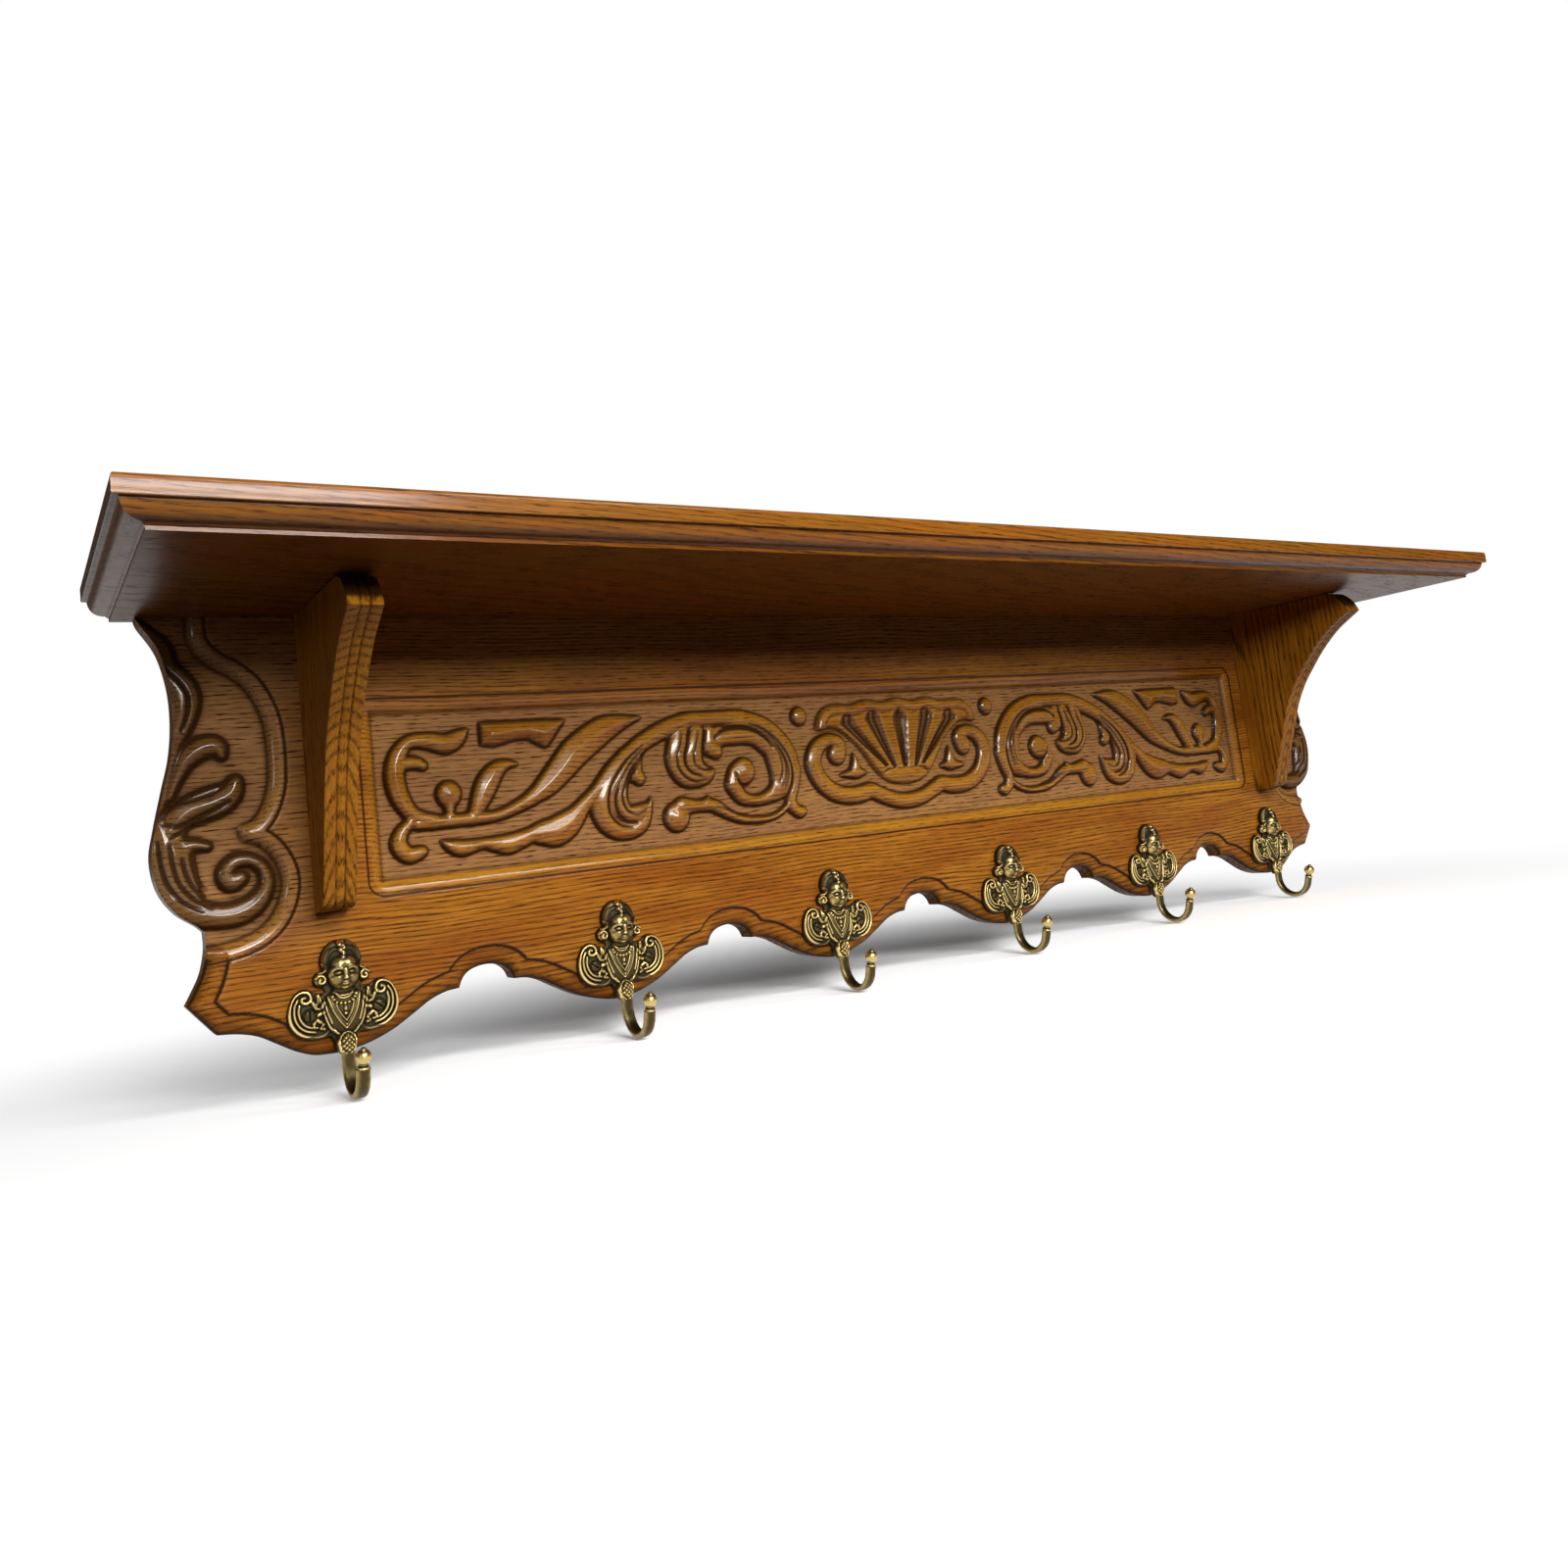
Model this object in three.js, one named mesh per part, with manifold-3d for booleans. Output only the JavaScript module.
// A carved oak coat rack with a shelf. A scalloped back board carries two scrolled brackets, a moulded
// shelf and a row of cast brass cherub hooks, and hangs on two keyhole plates let into its back.
// Millimetres, +Z up. The front faces -Y, the wall plane is Y = 0, X runs along the rack, and the origin
// is on the wall plane at mid-length, at the height of the keyhole plates.
import * as THREE from "three";
import { mergeVertices } from "three/addons/utils/BufferGeometryUtils.js";
import Module from "manifold-3d";

const wasm = await Module();
wasm.setup();

// Driving dimensions of the whole rack
const HOOK_COUNT = 6;
const HOOK_SPACING = 180.9;
const END_WIDTH = 97.2; // board beyond the centreline of the last hook
const BOARD_THICKNESS = 18;
const CARVED_HEIGHT = 180.2; // from the shelf down to the cusp in each end
const HOOK_BAND_HEIGHT = 78.8; // from that cusp down to the lowest points of the bottom edge
const SHELF_ABOVE_ORIGIN = 40;
const FIT_GAP = 0.3; // between pieces that touch

// Shelf
const SHELF_OVERHANG = 25.6; // past each end of the board
const SHELF_DEPTH = 204.6;
const SHELF_THICKNESS = 21.3;
const SHELF_ARRIS = 2;
const FASCIA_HEIGHT = 9.85;
const FASCIA_STEP = 3; // how far the ovolo under the fascia stands back from it
const SHELF_MOULD_WIDTH = 13.6; // from the fascia in to the underside
const SHELF_FILLET_HEIGHT = 1.9;
const SHELF_QUIRK = 1.9; // hollow between the ovolo and the fillet below it

// Bottom edge of the board: a lobe under each hook and a round arch between two
const ARCH_HALF_WIDTH = 18.2;
const ARCH_RISE = 11.7;
const LOBE_RISE = 24.7;
const END_LOBE_WIDTH = 67.9;
const END_LOBE_RISE = 21.8;
const END_HORN_WIDTH = 82.5; // the pointed corner of the end, from the last hook's centreline
const END_HORN_DROP = 39.4; // from the cusp down to that corner
const THUMB_WIDTH = 10; // rounded edge of the board
const THUMB_DROP = 6.5;
const THUMB_QUIRK = 0.8;

// Carved panel and end fields
const PANEL_TO_BRACKET = 13;
const PANEL_BELOW_SHELF = 51.5;
const PANEL_ABOVE_CUSP = 8.2;
const FIELD_DEPTH = 5;
const FRAME_WIDTH = 10.5; // ovolo round each sunk field
const DRAWN_PANEL_HALF = 432; // half width and height that the carving below is drawn for
const DRAWN_HEIGHT = 180.2;
const DRAWN_HOOK_X = 452.2;

// Brackets
const BRACKET_THICKNESS = 19;
const BRACKET_OUTWARD = 2.3; // from the last hook's centreline
const BRACKET_REACH = 122.4;
const BRACKET_FOOT_RISE = 3.2; // above the cusp
const BRACKET_FOOT_DEPTH = 25;
const NOSE_RADIUS = 20.5;
const BEAD_WIDTH = 5.2; // bead between two grooves down the bracket's face
const GROOVE_WIDTH = 1.6;
const GROOVE_DEPTH = 1.4;

// Joinery
const DOWEL_RADIUS = 4;
const DOWEL_IN_SHELF = 12;
const DOWEL_BELOW_SHELF = 18;
const BRACKET_DOWEL_SETBACKS = [30, 80]; // behind the board's front face
const BRACKET_SCREW_DROPS = [48, 130]; // below the shelf
const BRACKET_SCREW_RADIUS = 2.2;
const BRACKET_SCREW_HEAD_RADIUS = 4.4;
const BRACKET_SCREW_HEAD_HEIGHT = 3;
const BRACKET_SCREW_SINK = 1; // head below the board's back
const BRACKET_SCREW_BITE = 17; // into the bracket

// Hooks
const HOOK_SCREW_RISE = 24.5; // from the lobe's lowest point up to the hook's two screws
const HOOK_SCREW_HALF_SPREAD = 19.8;
const PLATE_THICKNESS = 2.8;
const HOOK_SCREW_RADIUS = 1.6;
const HOOK_SCREW_HEAD_RADIUS = 3.3;
const HOOK_SCREW_HEAD_HEIGHT = 1.7;
const HOOK_SCREW_BITE = 12;
const HOOK_HALF_SPAN = 31.9; // out to the tip of a wing
const ARM_WIDTH = 8;
const ARM_THICKNESS = 4;
const ARM_OUT = 4.2; // from the board to the middle of the strip where it leaves the plate
const THROAT_RADIUS = 15; // of the bend, to the middle of the strip
const THROAT_CENTRE_DROP = 30.8; // below the two screws
const ARM_LEAN_DEG = 16; // of the arm's free end towards the room
const ARM_TIP_LENGTH = 5.5; // straight free end above the bend
const KNOB_RADIUS = 4.5;
const KNOB_CENTRE_RISE = 6.6; // above the end of the arm
const KNOB_HEIGHT = 12;
const KNOB_PEG_RADIUS = 1.1;
const KNOB_PEG_LENGTH = 3;

// Keyhole hanger plates in the back
const HANGER_TO_BRACKET = 58;
const HANGER_WIDTH = 18;
const HANGER_HEIGHT = 48;
const HANGER_THICKNESS = 2;
const HANGER_SCREW_SPREAD = 35;
const HANGER_SCREW_RADIUS = 1.5;
const HANGER_SCREW_HEAD_RADIUS = 3;
const HANGER_SCREW_BITE = 9;
const KEYHOLE_RADIUS = 4.6;
const KEYHOLE_SLOT_RADIUS = 2.3;
const KEYHOLE_RISE = 8;
const WALL_SCREW_ROOM = 6; // depth behind the plate for the wall screw's head

// Levels and places that follow from them
const underside = SHELF_ABOVE_ORIGIN;
const cuspLevel = underside - CARVED_HEIGHT;
const lobeLevel = cuspLevel - HOOK_BAND_HEIGHT;
const screwLevel = lobeLevel + HOOK_SCREW_RISE;
const front = -BOARD_THICKNESS;
const lastHookX = ((HOOK_COUNT - 1) * HOOK_SPACING) / 2;
const boardHalf = lastHookX + END_WIDTH;
const shelfHalf = boardHalf + SHELF_OVERHANG;
const bracketX = lastHookX + BRACKET_OUTWARD;
const panelHalf = bracketX - BRACKET_THICKNESS / 2 - PANEL_TO_BRACKET;
const hookXs = Array.from({ length: HOOK_COUNT }, (_, i) => i * HOOK_SPACING - lastHookX);
const archXs = hookXs.slice(1).map((x) => x - HOOK_SPACING / 2);
const SIDES = { left: -1, right: 1 };

const oak = new THREE.MeshStandardMaterial({ color: 0x8a5022, roughness: 0.45, metalness: 0 });
const beech = new THREE.MeshStandardMaterial({ color: 0xc79a68, roughness: 0.7, metalness: 0 });
const brass = new THREE.MeshStandardMaterial({ color: 0x8c7a45, roughness: 0.38, metalness: 1 });
const darkBrass = new THREE.MeshStandardMaterial({ color: 0x5a4c30, roughness: 0.5, metalness: 1 });
const steel = new THREE.MeshStandardMaterial({ color: 0xa8a9ab, roughness: 0.4, metalness: 1 });

const rack = new THREE.Group();
const vec2 = (x, y) => new THREE.Vector2(x, y);

// Turns a closed geometry into a solid with its faces pointing out.
function solid(geometry) {
  const bare = geometry.index ? geometry.toNonIndexed() : geometry.clone();
  bare.deleteAttribute("normal");
  bare.deleteAttribute("uv");
  const merged = mergeVertices(bare, 1e-4);
  const make = (triVerts) =>
    new wasm.Manifold(
      new wasm.Mesh({ numProp: 3, vertProperties: merged.attributes.position.array, triVerts }),
    );
  const triVerts = new Uint32Array(merged.index.array);
  const made = make(triVerts);
  return made.volume() < 0 ? make(triVerts.slice().reverse()) : made;
}

// Turns a solid back into a geometry that a mesh can hold.
function geometryOf(body) {
  const mesh = body.getMesh();
  const geometry = new THREE.BufferGeometry();
  geometry.setAttribute("position", new THREE.BufferAttribute(mesh.vertProperties, 3));
  geometry.setIndex(new THREE.BufferAttribute(mesh.triVerts, 1));
  geometry.computeVertexNormals();
  return geometry;
}

// Closed geometry through planar rings of Vector3 that all have the same number of points.
function loft(rings) {
  const count = rings[0].length;
  const index = [];
  for (let r = 0; r + 1 < rings.length; r++)
    for (let i = 0; i < count; i++) {
      const j = (i + 1) % count;
      const near = r * count;
      const far = near + count;
      index.push(near + i, near + j, far + j, near + i, far + j, far + i);
    }
  const last = (rings.length - 1) * count;
  for (const tri of capOf(rings[0])) index.push(tri[2], tri[1], tri[0]);
  for (const tri of capOf(rings.at(-1))) index.push(last + tri[0], last + tri[1], last + tri[2]);
  const geometry = new THREE.BufferGeometry().setFromPoints(rings.flat());
  geometry.setIndex(index);
  return geometry;
}

// Triangles of a planar ring, wound the way the ring runs.
function capOf(ring) {
  const normal = new THREE.Vector3();
  ring.forEach((p, i) => normal.add(new THREE.Vector3().crossVectors(p, ring[(i + 1) % ring.length])));
  const size = normal.toArray().map(Math.abs);
  const drop = size.indexOf(Math.max(...size));
  const flat = ring.map((p) => vec2(...p.toArray().filter((_, axis) => axis !== drop)));
  const tris = THREE.ShapeUtils.triangulateShape(flat, []);
  const turn = tris.reduce((sum, tri) => sum + THREE.ShapeUtils.area(tri.map((i) => flat[i])), 0);
  return turn * THREE.ShapeUtils.area(flat) > 0 ? tris : tris.map((tri) => [tri[2], tri[1], tri[0]]);
}

// Moves every point of a closed outline inwards by a distance, keeping its corners mitred.
function inset(outline, distance) {
  const way = Math.sign(THREE.ShapeUtils.area(outline));
  const normalOf = (a, b) => vec2(a.y - b.y, b.x - a.x).normalize().multiplyScalar(way);
  return outline.map((p, i) => {
    const before = normalOf(outline.at(i - 1), p);
    const after = normalOf(p, outline[(i + 1) % outline.length]);
    const bisector = before.clone().add(after);
    return bisector.multiplyScalar((2 * distance) / bisector.lengthSq()).add(p);
  });
}

// A smooth curve through a few points, as evenly spaced Vector2.
function through(points, steps) {
  return new THREE.SplineCurve(points.map(([x, z]) => vec2(x, z))).getSpacedPoints(steps);
}

// An outline in the board's plane, lifted to a depth behind its front face.
const onFront = (outline, depth) => outline.map((p) => new THREE.Vector3(p.x, front + depth, p.y));

// Block between two corners, for cutting.
function block(low, high) {
  const size = high.map((v, i) => v - low[i]);
  const box = new THREE.BoxGeometry(...size);
  return solid(box.translate(...low.map((v, i) => v + size[i] / 2)));
}

// Round bar between two points.
function bar(radius, from, to, sides = 8) {
  const along = new THREE.Vector3().subVectors(to, from);
  const cylinder = new THREE.CylinderGeometry(radius, radius, along.length(), sides);
  cylinder.translate(0, along.length() / 2, 0);
  const turn = new THREE.Quaternion().setFromUnitVectors(new THREE.Vector3(0, 1, 0), along.normalize());
  return cylinder.applyQuaternion(turn).translate(from.x, from.y, from.z);
}

function addPiece(name, geometry, material, parent = rack) {
  const mesh = new THREE.Mesh(geometry, material);
  mesh.name = name;
  parent.add(mesh);
  return mesh;
}

// Wood or brass screw lying along +Y: domed or countersunk head at y = 0, shank to y = length.
function screwGeometry({ headRadius, headHeight, shankRadius, length, countersunk }) {
  const head = countersunk
    ? [[0, 0], [headRadius, 0], [headRadius, 0.4], [shankRadius, headHeight]]
    : [[0, -headHeight], [0.75 * headRadius, -0.7 * headHeight], [headRadius, 0], [shankRadius, 0]];
  const point = [[shankRadius, length - 2 * shankRadius], [0, length]];
  return new THREE.LatheGeometry([...head, ...point].map(([r, y]) => vec2(r, y)), 6);
}

// Carving strokes. Each runs along a spine of [x, z, half width], x from mid-length and z from the
// shelf's underside, on the left half. The right half mirrors them.
const PANEL_STROKES = [
  // C-scroll at the end of the panel, from its leaf tip round to the stem, with its nub and lower curl
  [[-361, -74, 1.5], [-368, -79, 5.4], [-376, -82, 6.8], [-389, -79.5, 5.4], [-401, -81, 4.6],
    [-408, -90, 5.8], [-409.5, -103, 6.4], [-406.5, -116, 6], [-399, -126, 4.8], [-386, -131, 4]],
  [[-406, -92, 4], [-397, -93, 4.4], [-391.5, -95.5, 3]],
  [[-400, -127, 3], [-408, -135, 4.4], [-410.5, -143, 5.6], [-405, -149.5, 5.4], [-396, -148.5, 3.4]],
  // Stem of the little ball and the small upright leaf
  [[-376.5, -116, 4], [-376.5, -123, 2.8], [-377, -130, 3.4]],
  [[-361, -129, 4], [-356, -119.5, 6.6], [-350.5, -109.5, 7.8], [-344, -101.5, 6.2], [-337, -98, 3.6],
    [-328.5, -98, 1.2]],
  // Long upper leaf
  [[-396, -131, 4], [-370, -131.5, 4.2], [-345, -130.2, 3.8], [-330, -125.3, 4.4], [-317, -118.8, 6],
    [-308, -112.5, 8.2], [-298, -103.5, 9.6], [-287.5, -93.5, 10.5], [-274, -84.3, 10],
    [-262.5, -78, 8.4], [-251.5, -74.7, 5.6], [-241.5, -72.8, 3], [-234, -71.5, 1]],
  // Bar along the top, with its hooked end
  [[-350, -77, 6.8], [-335, -77, 7], [-320, -76, 6.4], [-306, -75, 5.2], [-293, -71, 1.2]],
  [[-320, -78, 3.5], [-311, -81.5, 4.6], [-309, -86.5, 1.8]],
  // Lower stem, sweeping up over the middle, with its two lobes
  [[-384, -143, 1], [-377, -146.5, 3.6], [-367, -148.5, 5], [-352, -149, 5.2], [-337, -148.5, 6],
    [-321, -144.5, 5.6], [-306, -139.5, 5.4], [-294, -133.5, 5], [-282, -126, 4.8], [-272, -118.5, 5],
    [-262, -110, 5.4], [-251, -100.5, 6], [-239, -92, 6.4], [-225, -85.5, 7], [-210, -80.5, 7.4],
    [-194, -77, 7.2], [-177, -76, 6.4], [-160, -76, 6.4]],
  [[-324, -148.5, 3], [-310, -148.5, 6.2], [-297, -146.5, 6.6], [-289, -138, 5.4], [-285, -131, 3]],
  // Volute: the band narrows as it winds in to its eye
  [[-162, -76, 6.4], [-147, -79, 8.4], [-134, -85.5, 10.5], [-123.5, -96, 12.5], [-117.5, -109, 14],
    [-118.5, -121, 11.5], [-126, -131, 7.5], [-138, -136.5, 4.6], [-150, -136.5, 4.6], [-160, -130, 6.4],
    [-162, -119, 7.4]],
  [[-110, -120, 7.5], [-111.5, -132, 5.6], [-114, -141, 4.2], [-108, -149, 4.6]],
  // Inner leaf of the volute
  [[-174, -100, 4.4], [-169, -95, 6], [-159, -90, 6.2], [-147, -89.5, 6.2], [-136, -95, 6.2]],
  // Acanthus leaf on the stem, and the one nearer the middle
  [[-249, -99, 5], [-261, -112, 8], [-269, -126, 9], [-269.5, -139, 8], [-262, -148, 6.4],
    [-250, -150, 5.4], [-240.5, -145, 5.2], [-235.5, -136, 3.4], [-232.5, -127.5, 1]],
  [[-238, -94, 5], [-249, -104, 7.4], [-256, -118, 8.4], [-257, -131, 8], [-250, -140, 6.4]],
  [[-236, -95, 4], [-238.5, -106, 4.6], [-242, -114, 5.2]],
  [[-204, -82, 6.4], [-208.5, -95, 8], [-209, -106, 8], [-203, -115.5, 8], [-194, -118.5, 6],
    [-185, -116, 4.6], [-179, -111.5, 1.4]],
  [[-190, -84, 7], [-195, -97, 9], [-194, -108, 8]],
  [[-181, -84, 6], [-180, -95, 6.8], [-173, -100, 4.6]],
  // Tail along the bottom, from its ball to the foot of the volute
  [[-212, -141, 8], [-204, -136, 6], [-195, -136.8, 4.4], [-183, -138, 4.8], [-171, -144.5, 4.2],
    [-160, -149, 3.4], [-147, -151.2, 2.8], [-134, -150.6, 2.6], [-123, -146.5, 2.8], [-116, -141, 3]],
  // Scroll beside the shell and the garland under it
  [[-64, -110, 7], [-63.5, -101, 6.4], [-71, -97, 5.4], [-80, -99, 6], [-87, -105.5, 7],
    [-89.5, -114.5, 7.4], [-86.5, -124, 7.4], [-79.5, -132.5, 7.2], [-70, -138, 7], [-58, -140.5, 6.8],
    [-46, -140, 6.6], [-37, -139, 6], [-27, -143, 6.2], [-15, -147.5, 6.2], [2, -149.5, 6.3]],
  // Leaf drop between the scroll and the shell
  [[-50, -108.5, 1], [-49.5, -116, 3.4], [-51, -123.5, 5]],
  [[-66, -124.5, 1], [-57, -124, 3.2], [-47, -124, 3.6], [-38, -124, 1]],
];
// Round bosses of the panel: [x, z, radius]
const PANEL_BOSSES = [[-376.5, -113.5, 8.8], [-213.5, -143.5, 10.6], [-153.5, -117, 11], [-98, -77, 7.3],
  [-106.5, -148.8, 5], [-66.5, -107.5, 9.2]];

// Strokes of the acanthus and spiral in each end field, placed from the last hook's drawn centreline
const END_STROKES = [
  [[-547, -6, 4], [-541, -17, 7], [-535, -30, 6]],
  [[-533, -30, 5], [-526, -43, 7.5], [-527, -56, 7.5], [-532, -68, 5]],
  [[-541, -106, 4], [-535, -94, 5], [-527, -82.5, 6], [-518, -76, 6.6], [-510.5, -76.5, 5.2],
    [-508.5, -82, 3]],
  [[-536, -120, 8], [-527, -111.5, 8.5], [-515, -107.5, 9.6], [-505, -102.5, 6.8], [-502, -96, 3.6]],
  [[-535, -134, 5], [-527, -131.5, 4.4], [-518.5, -132.5, 2.4]],
  [[-546, -112, 7], [-541, -126, 11], [-538, -141, 13.5], [-537, -156, 12.5], [-529, -167, 9],
    [-517, -172, 7.2], [-504, -171.5, 7], [-494.5, -166, 6], [-489, -156.5, 4.6], [-491, -147.5, 4],
    [-498, -142.5, 4], [-506, -142.8, 4.8], [-510.5, -148.5, 5], [-507.5, -154, 4.6]],
];
const END_BOSSES = [[-506.5, -152.5, 6.2]];

// Spline that the ovolo frame of the left end field follows, in runs that meet in cusps
const END_FIELD_RUNS = [
  [[-513, 8], [-512.5, -8], [-504, -22]],
  [[-504, -22], [-488, -33], [-476, -54], [-471.5, -82], [-475.5, -108], [-484, -126]],
  [[-484, -126], [-473, -138], [-468.5, -156], [-474, -176], [-489, -191.5], [-511, -196.5]],
];
const END_FIELD_OUTSIDE = [[-580, -199], [-580, 40], [-513, 40]];

// Scales the drawn carving to the panel and the carved height.
const drawnLevel = (z) => underside + (z * CARVED_HEIGHT) / DRAWN_HEIGHT;
const panelPoint = ([x, z]) => [(x * panelHalf) / DRAWN_PANEL_HALF, drawnLevel(z)];
const endPoint = ([x, z]) => [x + DRAWN_HOOK_X - lastHookX, drawnLevel(z)];
const fieldFloor = front + FIELD_DEPTH;

// A carved stroke: a rounded section swept along its spine, standing on the sunk field.
function strokeSolid(spine, place, side, step) {
  const curve = new THREE.CatmullRomCurve3(
    spine.map((p) => new THREE.Vector3(...place(p), p[2])),
    false,
    "centripetal",
  );
  const stations = Math.max(2, Math.round(curve.getLength() / step));
  const rings = curve.getSpacedPoints(stations).map((p, i) => {
    const along = curve.getTangentAt(i / stations);
    const across = vec2(-along.y, along.x).normalize();
    const rise = Math.min(FIELD_DEPTH - 0.1, 1.3 * p.z);
    const section = [[-1, -1.2], [-0.5, 0.95 * rise], [0.5, 0.95 * rise], [1, -1.2]];
    return section.map(([s, up]) => {
      const [x, z] = [p.x + across.x * s * p.z, p.y + across.y * s * p.z];
      return new THREE.Vector3(side * x, fieldFloor - up, z);
    });
  });
  return solid(loft(rings));
}

// A round boss: a dome on the sunk field.
function bossSolid([x, z, radius], place, side) {
  const dome = new THREE.SphereGeometry(1, 8, 4);
  const [px, pz] = place([x, z]);
  dome.rotateX(Math.PI / 2).scale(radius, FIELD_DEPTH + 0.6, radius);
  return solid(dome.translate(side * px, fieldFloor + 0.6, pz));
}

// The fluted shell in the middle of the panel, as rows of points from its foot up to its rim.
function shellSolid() {
  const halfWidth = 84;
  const flutes = [-53, -28, 0, 28, 53];
  const fluteHalf = 8.5;
  const across = Array.from({ length: 27 }, (_, i) => (i - 13) / 13);
  const foot = (u) => [17 * u, -134 + 4 * u * u];
  const waist = (u) => [51 * u, -104 + 18 * u * u];
  const rim = (u) => [halfWidth * u, -66.5 - 1.5 * Math.abs(Math.sin(u * 3 * Math.PI)) - 17 * u ** 6];
  const rows = [0, 0.1, 0.4, 0.82, 0.92, 1].map((v) =>
    across.map((u) => {
      const [a, b, c] = [foot(u), waist(u), rim(u)];
      const blend = (k) => (1 - v) ** 2 * a[k] + 2 * v * (1 - v) * b[k] + v ** 2 * c[k];
      const nearest = Math.min(...flutes.map((f) => Math.abs(u * halfWidth - f)));
      const scoop = v > 0.2 && v < 0.88 ? 3.2 * Math.max(0, 1 - (nearest / fluteHalf) ** 2) : 0;
      const rise = v === 0 || v === 1 || Math.abs(u) === 1 ? 2.6 : FIELD_DEPTH - 0.2;
      const [x, z] = panelPoint([blend(0), blend(1)]);
      return new THREE.Vector3(x, fieldFloor - rise + scoop, z);
    }),
  );
  return solid(slab(rows));
}

// Closed geometry between a grid of points and its shadow just below the sunk field.
function slab(rows) {
  const [height, width] = [rows.length, rows[0].length];
  const top = rows.flat();
  const below = top.map((p) => p.clone().setY(fieldFloor + 1.2));
  const at = (r, c) => r * width + c;
  const index = [];
  const quad = (a, b, c, d) => index.push(a, b, c, a, c, d);
  for (let r = 0; r + 1 < height; r++)
    for (let c = 0; c + 1 < width; c++) {
      const cell = [at(r, c), at(r, c + 1), at(r + 1, c + 1), at(r + 1, c)];
      quad(...cell);
      quad(...cell.map((i) => i + top.length).reverse());
    }
  const rim = [
    ...rows[0].map((_, c) => at(0, c)),
    ...rows.slice(1).map((_, r) => at(r + 1, width - 1)),
    ...rows[0].slice(1).map((_, c) => at(height - 1, width - 2 - c)),
    ...rows.slice(2).map((_, r) => at(height - 2 - r, 0)),
  ];
  rim.forEach((a, i) => {
    const b = rim[(i + 1) % rim.length];
    quad(b, a, a + top.length, b + top.length);
  });
  const geometry = new THREE.BufferGeometry().setFromPoints([...top, ...below]);
  geometry.setIndex(index);
  return geometry;
}

// Profile of the board's end from the shelf down to the cusp: shares of its width and carved height.
const END_PROFILE = [
  [1, -0.011], [0.893, 0.105], [0.833, 0.316], [0.905, 0.552], [0.989, 0.76], [0.957, 0.86],
  [0.874, 0.934], [0.729, 1],
];

// Outline of the board: its two profiled ends and the bottom edge of lobes and arches.
function boardOutline() {
  const profile = END_PROFILE.map(([out, down]) => [
    -lastHookX - out * END_WIDTH,
    underside - down * CARVED_HEIGHT,
  ]);
  const side = [vec2(-boardHalf, underside + 50), ...through(profile, 21)];
  const cuspX = side.at(-1).x;
  const horn = vec2(-lastHookX - END_HORN_WIDTH, cuspLevel - END_HORN_DROP);
  const hollow = [cuspX - 1.5, cuspLevel - 0.45 * END_HORN_DROP];
  const cove = through([[cuspX, cuspLevel], hollow, [horn.x, horn.y]], 4);
  const end = [...side, ...cove.slice(1)];
  const lobe = (x, width, rise, way) =>
    Array.from({ length: 6 }, (_, i) => {
      const s = way < 0 ? 1 - i / 6 : (i + 1) / 6;
      return vec2(x + way * s * width, lobeLevel + (rise * (1 - Math.cos(Math.PI * s))) / 2);
    });
  const shoulder = HOOK_SPACING / 2 - ARCH_HALF_WIDTH;
  const bottom = hookXs.flatMap((x, i) => {
    const outer = (last) => (last ? [END_LOBE_WIDTH, END_LOBE_RISE] : [shoulder, LOBE_RISE]);
    const before = lobe(x, ...outer(i === 0), -1);
    const after = lobe(x, ...outer(i === HOOK_COUNT - 1), 1);
    const arch = i < HOOK_COUNT - 1 ? archPoints(archXs[i]) : [];
    return [...before, vec2(x, lobeLevel), ...after, ...arch];
  });
  const mirrored = end.map((p) => vec2(-p.x, p.y)).reverse();
  return [...end, ...bottom, ...mirrored];
}

// Points inside one arch, between its two corners.
function archPoints(x) {
  const radius = (ARCH_HALF_WIDTH ** 2 + ARCH_RISE ** 2) / (2 * ARCH_RISE);
  const centre = lobeLevel + LOBE_RISE + ARCH_RISE - radius;
  const half = Math.asin(ARCH_HALF_WIDTH / radius);
  return Array.from({ length: 4 }, (_, i) => {
    const angle = half * (-1 + (2 * (i + 1)) / 5);
    return vec2(x + radius * Math.sin(angle), centre + radius * Math.cos(angle));
  });
}

// Board blank: the outline with its thumb-moulded front edge, cut level under the shelf.
function boardBlank() {
  const outline = boardOutline();
  const quarter = [0, 40, 90].map((a) => THREE.MathUtils.degToRad(a));
  const rings = [
    onFront(outline, BOARD_THICKNESS),
    ...quarter.map((a) =>
      onFront(
        inset(outline, THUMB_WIDTH * (1 - Math.cos(a))),
        THUMB_DROP - (THUMB_DROP - THUMB_QUIRK) * Math.sin(a),
      ),
    ),
    onFront(inset(outline, THUMB_WIDTH + 0.4), 0),
  ];
  const top = underside - FIT_GAP;
  const above = block([-boardHalf - 50, front - 10, top], [boardHalf + 50, 10, top + 100]);
  return solid(loft(rings)).subtract(above);
}

// Cutter for a sunk field whose ovolo frame starts at the outline.
function fieldCutter(outline) {
  const quarter = [0, 45, 90].map((a) => THREE.MathUtils.degToRad(a));
  const ovolo = quarter.map((a) =>
    onFront(inset(outline, FRAME_WIDTH * Math.sin(a)), FIELD_DEPTH * (1 - Math.cos(a))),
  );
  const rings = [onFront(outline, -2), ...ovolo];
  return solid(loft(rings));
}

function panelOutline() {
  const top = underside - PANEL_BELOW_SHELF;
  const bottom = cuspLevel + PANEL_ABOVE_CUSP;
  return [vec2(panelHalf, top), vec2(-panelHalf, top), vec2(-panelHalf, bottom), vec2(panelHalf, bottom)];
}

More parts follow.
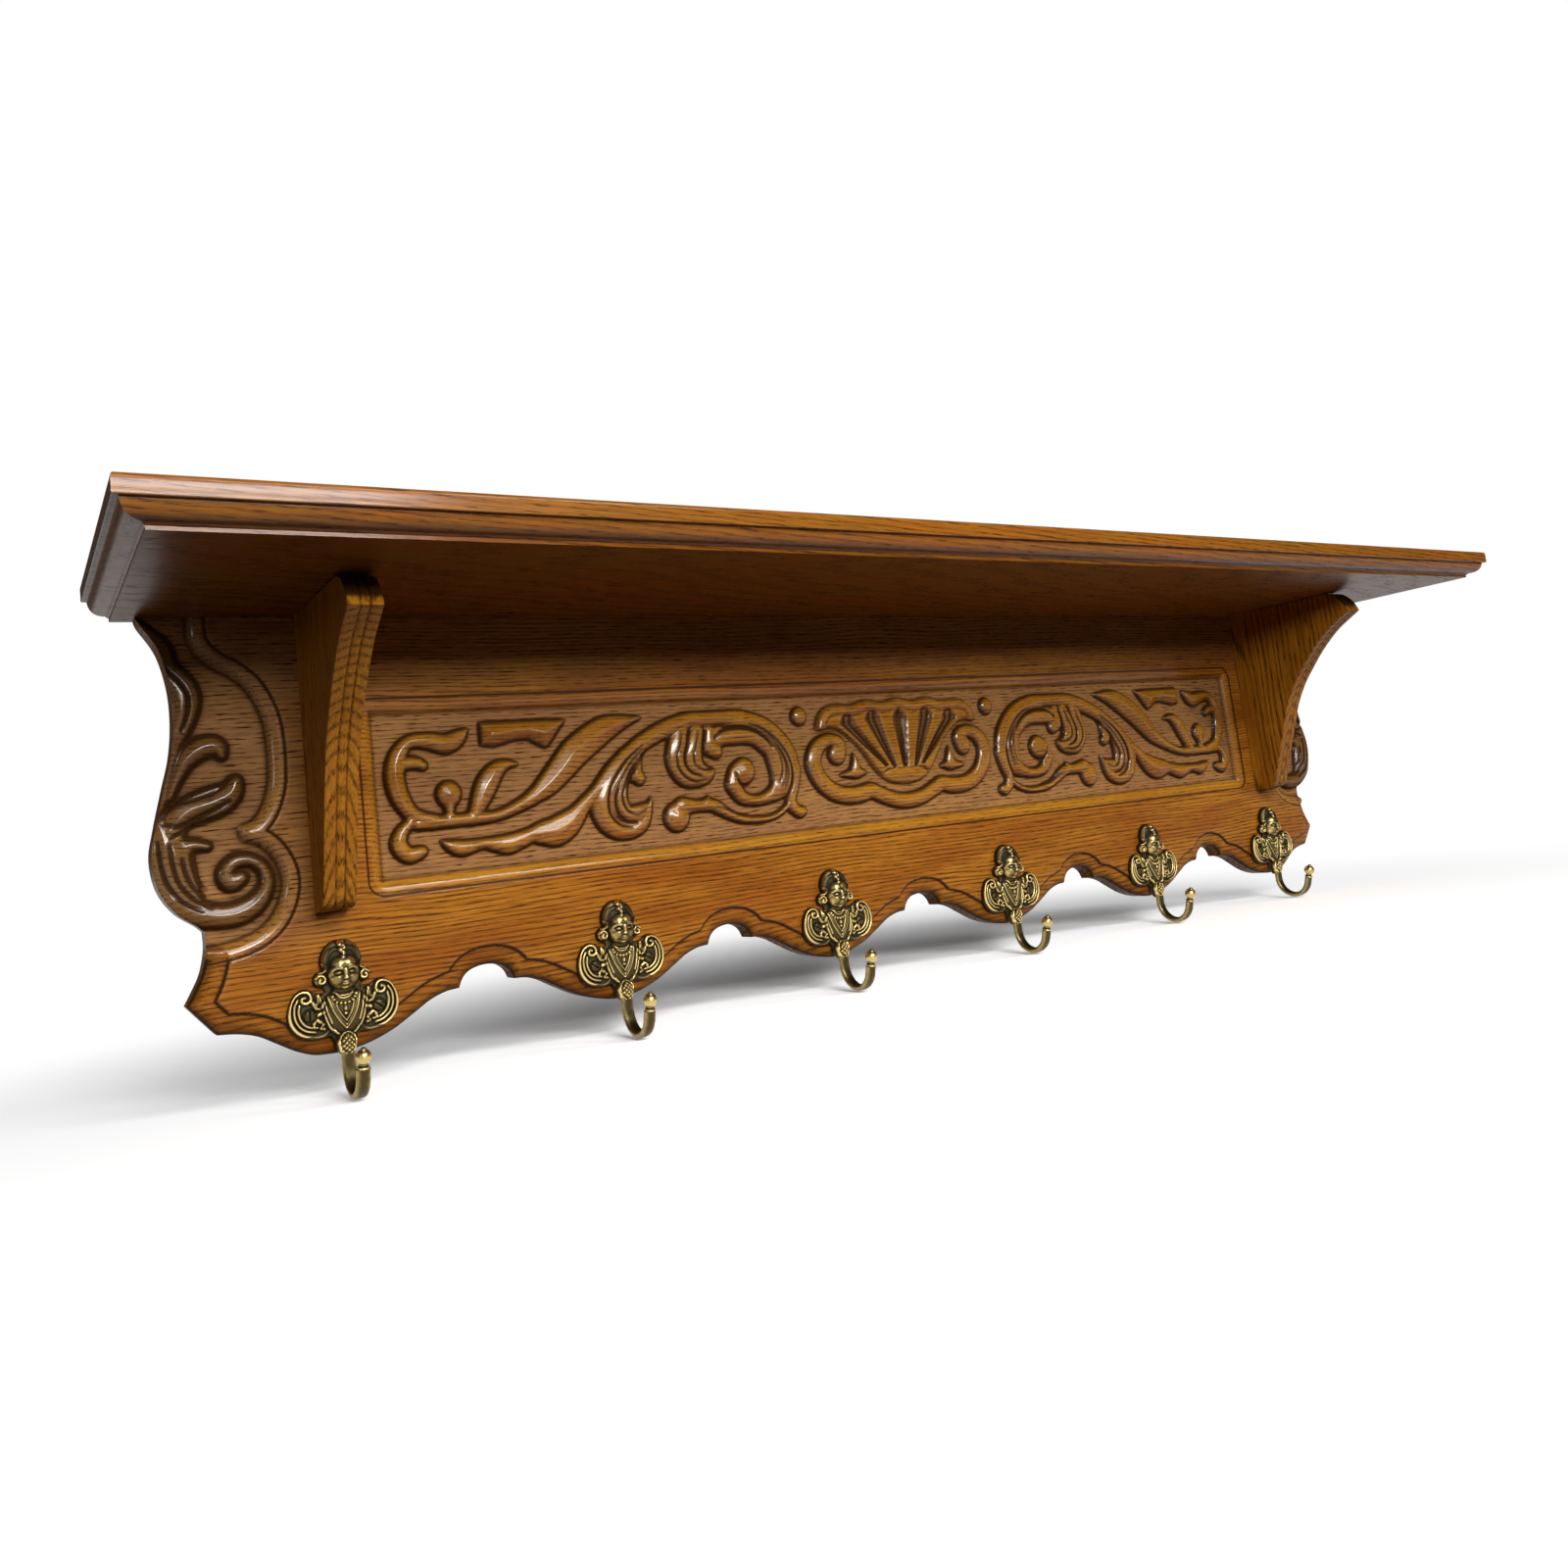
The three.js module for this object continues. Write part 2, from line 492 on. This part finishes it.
function endFieldOutline(side) {
  const runs = END_FIELD_RUNS.flatMap((run, i) => through(run.map(endPoint), [3, 7, 7][i]).slice(i ? 1 : 0));
  return [...runs, ...END_FIELD_OUTSIDE.map((p) => vec2(...endPoint(p)))].map((p) => vec2(-side * p.x, p.y));
}

// Everything bored or let into the board: dowels, screws and hangers.
function boardCutters() {
  const along = (x, z, from, to) => [new THREE.Vector3(x, from, z), new THREE.Vector3(x, to, z)];
  const cutters = [];
  for (const x of archXs) cutters.push(dowelHole(x, front / 2));
  for (const x of hookXs)
    for (const dx of [-HOOK_SCREW_HALF_SPREAD, HOOK_SCREW_HALF_SPREAD]) {
      const ends = along(x + dx, screwLevel, front - 2, front + HOOK_SCREW_BITE + 1);
      cutters.push(solid(bar(HOOK_SCREW_RADIUS + FIT_GAP, ...ends)));
    }
  for (const side of Object.values(SIDES)) {
    for (const drop of BRACKET_SCREW_DROPS) {
      const z = underside - drop;
      cutters.push(solid(bar(BRACKET_SCREW_RADIUS + FIT_GAP, ...along(side * bracketX, z, front - 2, 2))));
      cutters.push(countersink(side * bracketX, z));
    }
    cutters.push(...hangerCutters(side * (bracketX - HANGER_TO_BRACKET)));
  }
  return cutters;
}

function dowelHole(x, y) {
  const low = new THREE.Vector3(x, y, underside - DOWEL_BELOW_SHELF);
  const high = new THREE.Vector3(x, y, underside + DOWEL_IN_SHELF);
  return solid(bar(DOWEL_RADIUS + FIT_GAP, low, high));
}

// Conical seat in the back face for a bracket screw's head.
function countersink(x, z) {
  const [head, shank] = [BRACKET_SCREW_HEAD_RADIUS + FIT_GAP, BRACKET_SCREW_RADIUS + FIT_GAP];
  const profile = [[0, -5], [head, -5], [head, 0.5], [shank, BRACKET_SCREW_HEAD_HEIGHT + 0.1],
    [0, BRACKET_SCREW_HEAD_HEIGHT + 0.1]];
  const cone = new THREE.LatheGeometry(profile.map(([r, y]) => vec2(r, y)), 8);
  return solid(cone.rotateX(Math.PI).translate(x, -BRACKET_SCREW_SINK, z));
}

// Pocket for a hanger plate, room for the wall screw's head, and the plate's own screw holes.
function hangerCutters(x) {
  const [w, h] = [HANGER_WIDTH / 2 + FIT_GAP, HANGER_HEIGHT / 2 + FIT_GAP];
  const seat = -HANGER_THICKNESS - 2 * FIT_GAP;
  const room = KEYHOLE_RADIUS + 0.4;
  const cutters = [
    block([x - w, seat, -h], [x + w, 2, h]),
    block([x - room, seat - WALL_SCREW_ROOM, -room], [x + room, 0, KEYHOLE_RISE + room]),
  ];
  for (const z of [-HANGER_SCREW_SPREAD / 2, HANGER_SCREW_SPREAD / 2]) {
    const mouth = new THREE.Vector3(x, 0, z);
    const end = new THREE.Vector3(x, -HANGER_SCREW_BITE - HANGER_THICKNESS - 1, z);
    cutters.push(solid(bar(HANGER_SCREW_RADIUS + FIT_GAP, mouth, end)));
  }
  return cutters;
}

function buildBoard() {
  const blank = boardBlank();
  let board = blank.subtract(fieldCutter(panelOutline()));
  for (const side of Object.values(SIDES)) board = board.subtract(fieldCutter(endFieldOutline(side)));
  const carving = [shellSolid()];
  for (const side of [1, -1]) {
    for (const spine of PANEL_STROKES) carving.push(strokeSolid(spine, panelPoint, side, 27));
    for (const boss of PANEL_BOSSES) carving.push(bossSolid(boss, panelPoint, side));
    for (const spine of END_STROKES) carving.push(strokeSolid(spine, endPoint, side, 22));
    for (const boss of END_BOSSES) carving.push(bossSolid(boss, endPoint, side));
  }
  for (const piece of carving) board = board.add(piece.intersect(blank));
  for (const cutter of boardCutters()) board = board.subtract(cutter);
  addPiece("back_board", geometryOf(board), oak);
}

// Shelf: rectangles stacked from the underside up, moulded on the front and both ends.
function buildShelf() {
  const fasciaBottom = SHELF_THICKNESS - FASCIA_HEIGHT;
  const ovoloWidth = SHELF_MOULD_WIDTH - SHELF_QUIRK - FASCIA_STEP;
  const ovoloHeight = fasciaBottom - SHELF_FILLET_HEIGHT - 0.7 * SHELF_QUIRK;
  const ovolo = [0, 30, 60, 90].map((a) => {
    const angle = THREE.MathUtils.degToRad(a);
    const run = FASCIA_STEP + ovoloWidth * (1 - Math.sin(angle));
    return [run, fasciaBottom - ovoloHeight * Math.cos(angle)];
  });
  const profile = [
    [SHELF_MOULD_WIDTH, 0],
    [SHELF_MOULD_WIDTH, SHELF_FILLET_HEIGHT],
    ...ovolo,
    [0.5, fasciaBottom],
    [0, fasciaBottom + 0.5],
    [0, SHELF_THICKNESS - SHELF_ARRIS],
    [0.3 * SHELF_ARRIS, SHELF_THICKNESS - 0.3 * SHELF_ARRIS],
    [SHELF_ARRIS, SHELF_THICKNESS],
  ];
  const rings = profile.map(([run, height]) => {
    const [x, y, z] = [shelfHalf - run, run - SHELF_DEPTH, underside + height];
    return [[-x, y], [x, y], [x, 0], [-x, 0]].map(([a, b]) => new THREE.Vector3(a, b, z));
  });
  let shelf = solid(loft(rings));
  for (const x of archXs) shelf = shelf.subtract(dowelHole(x, front / 2));
  for (const side of Object.values(SIDES))
    for (const setback of BRACKET_DOWEL_SETBACKS)
      shelf = shelf.subtract(dowelHole(side * bracketX, front - setback));
  addPiece("shelf_board", geometryOf(shelf), oak);
}

// Side profile of a bracket as [distance in front of the board, height below the shelf], with its
// front curve moved back by a depth. The front runs from the nose's tip down to the foot.
function bracketProfile(depth) {
  const foot = CARVED_HEIGHT - BRACKET_FOOT_RISE;
  const tip = NOSE_RADIUS;
  const reach = BRACKET_REACH - depth;
  const nose = [0, 30, 60, 90].map((a) => {
    const angle = THREE.MathUtils.degToRad(a);
    return vec2(reach - NOSE_RADIUS * (1 - Math.sin(angle)), NOSE_RADIUS * (1 - Math.cos(angle)));
  });
  const curve = new THREE.CubicBezierCurve(
    vec2(reach, tip),
    vec2(reach - 0.47 * (BRACKET_REACH - BRACKET_FOOT_DEPTH), tip + 0.16 * (foot - tip)),
    vec2(BRACKET_FOOT_DEPTH - depth + 0.17 * (BRACKET_REACH - BRACKET_FOOT_DEPTH), tip + 0.58 * (foot - tip)),
    vec2(BRACKET_FOOT_DEPTH - depth, foot - 14),
  ).getSpacedPoints(9);
  const toe = [vec2(BRACKET_FOOT_DEPTH - depth - 5, foot - 5), vec2(BRACKET_FOOT_DEPTH - depth - 15, foot)];
  return [vec2(0, 0), ...nose, ...curve.slice(1), ...toe, vec2(0, foot)];
}

// Bracket: the profile stacked across its thickness, deeper in the two grooves.
function buildBracket(name, side) {
  const half = BRACKET_THICKNESS / 2;
  const bead = BEAD_WIDTH / 2;
  const across = [
    [half, 0.8], [half - 0.8, 0], [bead + GROOVE_WIDTH, 0], [bead + GROOVE_WIDTH / 2, GROOVE_DEPTH],
    [0.8 * bead, 0.3],
  ];
  const stack = [...across.map(([s, d]) => [-s, d]), [0, 0], ...across.map(([s, d]) => [s, d]).reverse()];
  const rings = stack.map(([s, depth]) =>
    bracketProfile(depth).map(
      (p) => new THREE.Vector3(side * bracketX + s, front - FIT_GAP - p.x, underside - FIT_GAP - p.y),
    ),
  );
  let bracket = solid(loft(rings));
  for (const setback of BRACKET_DOWEL_SETBACKS)
    bracket = bracket.subtract(dowelHole(side * bracketX, front - setback));
  for (const drop of BRACKET_SCREW_DROPS) {
    const start = new THREE.Vector3(side * bracketX, front + 2, underside - drop);
    const end = start.clone().setY(front - BRACKET_SCREW_BITE - 1.5);
    bracket = bracket.subtract(solid(bar(BRACKET_SCREW_RADIUS + FIT_GAP, start, end)));
  }
  addPiece(name, geometryOf(bracket), oak);
}

function buildDowels() {
  const pin = new THREE.CylinderGeometry(
    DOWEL_RADIUS,
    DOWEL_RADIUS,
    DOWEL_IN_SHELF + DOWEL_BELOW_SHELF - 2 * FIT_GAP,
    8,
  ).rotateX(Math.PI / 2);
  const middle = underside + (DOWEL_IN_SHELF - DOWEL_BELOW_SHELF) / 2;
  archXs.forEach((x, i) => addPiece(`shelf_dowel_${i + 1}`, pin, beech).position.set(x, front / 2, middle));
  for (const [word, side] of Object.entries(SIDES))
    BRACKET_DOWEL_SETBACKS.forEach((setback, i) => {
      const dowel = addPiece(`bracket_dowel_${word}_${i + 1}`, pin, beech);
      dowel.position.set(side * bracketX, front - setback, middle);
    });
}

function buildBracketScrews() {
  const screw = screwGeometry({
    headRadius: BRACKET_SCREW_HEAD_RADIUS,
    headHeight: BRACKET_SCREW_HEAD_HEIGHT,
    shankRadius: BRACKET_SCREW_RADIUS,
    length: BOARD_THICKNESS + BRACKET_SCREW_BITE - BRACKET_SCREW_SINK,
    countersunk: true,
  });
  for (const [word, side] of Object.entries(SIDES))
    BRACKET_SCREW_DROPS.forEach((drop, i) => {
      const mesh = addPiece(`bracket_screw_${word}_${i + 1}`, screw, steel);
      mesh.rotation.x = Math.PI;
      mesh.position.set(side * bracketX, -BRACKET_SCREW_SINK, underside - drop);
    });
}

// Keyhole plate: a round-ended steel strip with two screw holes and a keyhole whose slot points up.
function buildHangers() {
  const [w, h] = [HANGER_WIDTH / 2, HANGER_HEIGHT / 2];
  const plate = new THREE.Shape();
  plate.absarc(0, h - w, w, 0, Math.PI);
  plate.absarc(0, w - h, w, Math.PI, 2 * Math.PI);
  const keyhole = new THREE.Path();
  const mouth = Math.asin(KEYHOLE_SLOT_RADIUS / KEYHOLE_RADIUS);
  keyhole.absarc(0, 0, KEYHOLE_RADIUS, Math.PI / 2 + mouth, Math.PI / 2 - mouth + 2 * Math.PI);
  keyhole.absarc(0, KEYHOLE_RISE, KEYHOLE_SLOT_RADIUS, 0, Math.PI);
  plate.holes.push(keyhole);
  for (const z of [-HANGER_SCREW_SPREAD / 2, HANGER_SCREW_SPREAD / 2]) {
    const hole = new THREE.Path();
    hole.absarc(0, z, HANGER_SCREW_RADIUS + FIT_GAP, 0, 2 * Math.PI);
    plate.holes.push(hole);
  }
  const cut = { depth: HANGER_THICKNESS, bevelEnabled: false, curveSegments: 4 };
  const strip = new THREE.ExtrudeGeometry(plate, cut);
  strip.rotateX(Math.PI / 2);
  const screw = screwGeometry({
    headRadius: HANGER_SCREW_HEAD_RADIUS,
    headHeight: 0.25,
    shankRadius: HANGER_SCREW_RADIUS,
    length: HANGER_SCREW_BITE + HANGER_THICKNESS - 1,
    countersunk: false,
  });
  for (const [word, side] of Object.entries(SIDES)) {
    const hanger = new THREE.Group();
    hanger.position.set(side * (bracketX - HANGER_TO_BRACKET), 0, 0);
    rack.add(hanger);
    const mesh = addPiece(`hanger_plate_${word}`, solidGeometry(strip), steel, hanger);
    mesh.position.y = -2 * FIT_GAP;
    for (const [i, z] of [-HANGER_SCREW_SPREAD / 2, HANGER_SCREW_SPREAD / 2].entries()) {
      const fixing = addPiece(`hanger_screw_${word}_${i + 1}`, screw, steel, hanger);
      fixing.rotation.x = Math.PI;
      fixing.position.set(0, -FIT_GAP, z);
    }
  }
}

const solidGeometry = (geometry) => geometryOf(solid(geometry));

// Right half of the cast plate seen from the front, from the crown of the head down to the arm.
// Heights are from the level of the two screws, widths are drawn for the half span.
const PLATE_EDGE = [[0, 40.5], [6, 39.3], [10.4, 35.5], [12, 30], [12.2, 24.5], [15.8, 21.5], [15.8, 17],
  [9.4, 14.4], [8.6, 10.5], [12, 9], [16, 11], [19, 14], [23.5, 14.4], [27.4, 11.5], [31.9, 3],
  [31.2, -2.5], [27.5, -8.5], [21, -12.6], [8, -14], [6.5, -21.5], [3.6, -25.5]];
const PLATE_DRAWN_SPAN = 31.9;
// Feathered ridges of a wing: [x, height, half width]
const WING_RIDGES = [
  [[18.5, 8.6, 1], [22.8, 11.4, 1.9], [26.6, 8.8, 1.8], [29.8, 2.8, 2], [26.8, -5, 2.1], [20, -9.6, 2]],
  [[11, 6, 1.6], [14, -1, 1.9], [14.6, -7.4, 1.9], [11.3, -10.6, 1.5]],
];
const HAIR_CURL = [12.2, 19.4, 3.9]; // [x, height, radius]

// A dome of the casting, standing on the plate's front.
function dome(x, z, [rx, rise, rz], sides = 8) {
  const profile = [[0, 0], [1, 0], [0.68, 0.75], [0, 1]].map(([r, y]) => vec2(r, y));
  const geometry = new THREE.LatheGeometry(profile, sides);
  geometry.rotateX(Math.PI).scale(rx, rise + 1, rz);
  return solid(geometry.translate(x, 1 - PLATE_THICKNESS, z));
}

// A ridge of the casting along a spine of [x, height, half width].
function ridge(spine, side) {
  const curve = new THREE.CatmullRomCurve3(spine.map((p) => new THREE.Vector3(...p)));
  const stations = 4;
  const rings = curve.getSpacedPoints(stations).map((p, i) => {
    const along = curve.getTangentAt(i / stations);
    const across = vec2(-along.y, along.x).normalize();
    const section = [[-1, 1], [0, -1.6], [1, 1]];
    return section.map(
      ([s, up]) =>
        new THREE.Vector3(side * (p.x + across.x * s * p.z), up - PLATE_THICKNESS, p.y + across.y * s * p.z),
    );
  });
  return solid(loft(rings));
}

// Centre line of the arm as [out, height, lean], down from the plate and round to its free end.
function armStations() {
  const lean = THREE.MathUtils.degToRad(ARM_LEAN_DEG);
  const turn = Math.PI - lean;
  const bends = 7;
  const bend = Array.from({ length: bends + 1 }, (_, i) => {
    const angle = (turn * i) / bends;
    const out = ARM_OUT + THROAT_RADIUS * (1 - Math.cos(angle));
    return [out, -THROAT_CENTRE_DROP - THROAT_RADIUS * Math.sin(angle), angle];
  });
  const [out, height] = bend.at(-1);
  const tip = [out + ARM_TIP_LENGTH * Math.sin(lean), height + ARM_TIP_LENGTH * Math.cos(lean), turn];
  return [[ARM_OUT, -PLATE_THICKNESS - 8, 0], ...bend, tip];
}

// Direction of the arm where it has turned by an angle from straight down.
const armWay = (angle) => new THREE.Vector3(0, -Math.sin(angle), -Math.cos(angle));

function armSolid() {
  const [w, t] = [ARM_WIDTH / 2, ARM_THICKNESS / 2];
  const section = [[-w, 0], [-0.7 * w, -t], [0.7 * w, -t], [w, 0], [0.7 * w, t], [-0.7 * w, t]];
  const rings = armStations().map(([out, height, angle]) =>
    section.map(([s, d]) => new THREE.Vector3(s, -out + d * Math.cos(angle), height - d * Math.sin(angle))),
  );
  return solid(loft(rings));
}

// One hook: winged cherub plate and flat arm cast together, in its own frame on the board's front.
function hookGeometry() {
  const scale = HOOK_HALF_SPAN / PLATE_DRAWN_SPAN;
  const right = PLATE_EDGE.map(([x, z]) => vec2(x * scale, z));
  const left = right.slice(1).map((p) => vec2(-p.x, p.y)).reverse();
  const plate = new THREE.ExtrudeGeometry(new THREE.Shape([...right, ...left]), {
    depth: PLATE_THICKNESS,
    bevelEnabled: false,
  });
  plate.rotateX(Math.PI / 2);
  let hook = solid(plate);
  hook = hook.add(dome(0, 26.5, [11.6, 7.4, 13.6])); // hair
  hook = hook.add(dome(0, 22, [8.2, 10, 10.4])); // face
  hook = hook.add(dome(0, 0.5, [11, 4.8, 13.2])); // robe
  hook = hook.add(dome(0, -19, [4.3, 4.8, 6], 6)); // pine cone
  const [curlX, curlZ, curlR] = HAIR_CURL;
  for (const side of [-1, 1]) {
    hook = hook.add(dome(side * curlX, curlZ, [curlR, curlR, curlR], 6));
    for (const spine of WING_RIDGES) hook = hook.add(ridge(spine, side));
  }
  hook = hook.add(armSolid());
  for (const x of [-HOOK_SCREW_HALF_SPREAD, HOOK_SCREW_HALF_SPREAD]) {
    const ends = [new THREE.Vector3(x, 2, 0), new THREE.Vector3(x, -9, 0)];
    hook = hook.subtract(solid(bar(HOOK_SCREW_RADIUS + FIT_GAP, ...ends)));
  }
  const [out, height, angle] = armStations().at(-1);
  const tip = new THREE.Vector3(0, -out, height);
  const way = armWay(angle);
  const bore = [-KNOB_PEG_LENGTH - FIT_GAP, 2].map((d) => tip.clone().addScaledVector(way, d));
  return geometryOf(hook.subtract(solid(bar(KNOB_PEG_RADIUS + FIT_GAP, ...bore))));
}

// Turned knob on the end of the arm: peg, base ring, ball and button.
function knobGeometry() {
  const [r, c] = [KNOB_RADIUS, KNOB_CENTRE_RISE];
  const ball = [-45, -10, 30].map((a) => {
    const angle = THREE.MathUtils.degToRad(a);
    return [r * Math.cos(angle), c + r * Math.sin(angle)];
  });
  const profile = [
    [0, -KNOB_PEG_LENGTH],
    [KNOB_PEG_RADIUS, -KNOB_PEG_LENGTH],
    [KNOB_PEG_RADIUS, 0],
    [0.66 * r, 0],
    [0.5 * r, 1.8],
    ...ball,
    [0.36 * r, KNOB_HEIGHT - 1.4],
    [0, KNOB_HEIGHT],
  ];
  return new THREE.LatheGeometry(profile.map(([x, y]) => vec2(x, y)), 8);
}

function buildHooks() {
  const hook = hookGeometry();
  const knob = knobGeometry();
  const screw = screwGeometry({
    headRadius: HOOK_SCREW_HEAD_RADIUS,
    headHeight: HOOK_SCREW_HEAD_HEIGHT,
    shankRadius: HOOK_SCREW_RADIUS,
    length: PLATE_THICKNESS + HOOK_SCREW_BITE,
    countersunk: false,
  });
  const [out, height, angle] = armStations().at(-1);
  const seat = new THREE.Vector3(0, -out, height).addScaledVector(armWay(angle), FIT_GAP);
  hookXs.forEach((x, i) => {
    const place = new THREE.Group();
    place.position.set(x, front - FIT_GAP, screwLevel);
    rack.add(place);
    addPiece(`hook_${i + 1}`, hook, brass, place);
    const end = addPiece(`hook_knob_${i + 1}`, knob, darkBrass, place);
    end.position.copy(seat);
    end.quaternion.setFromUnitVectors(new THREE.Vector3(0, 1, 0), armWay(angle));
    for (const [word, side] of Object.entries(SIDES)) {
      const fixing = addPiece(`hook_screw_${i + 1}_${word}`, screw, darkBrass, place);
      fixing.position.set(side * HOOK_SCREW_HALF_SPREAD, -PLATE_THICKNESS - FIT_GAP, 0);
    }
  });
}

buildShelf();
buildBoard();
for (const [word, side] of Object.entries(SIDES)) buildBracket(`bracket_${word}`, side);
buildDowels();
buildBracketScrews();
buildHooks();
buildHangers();

export default rack;
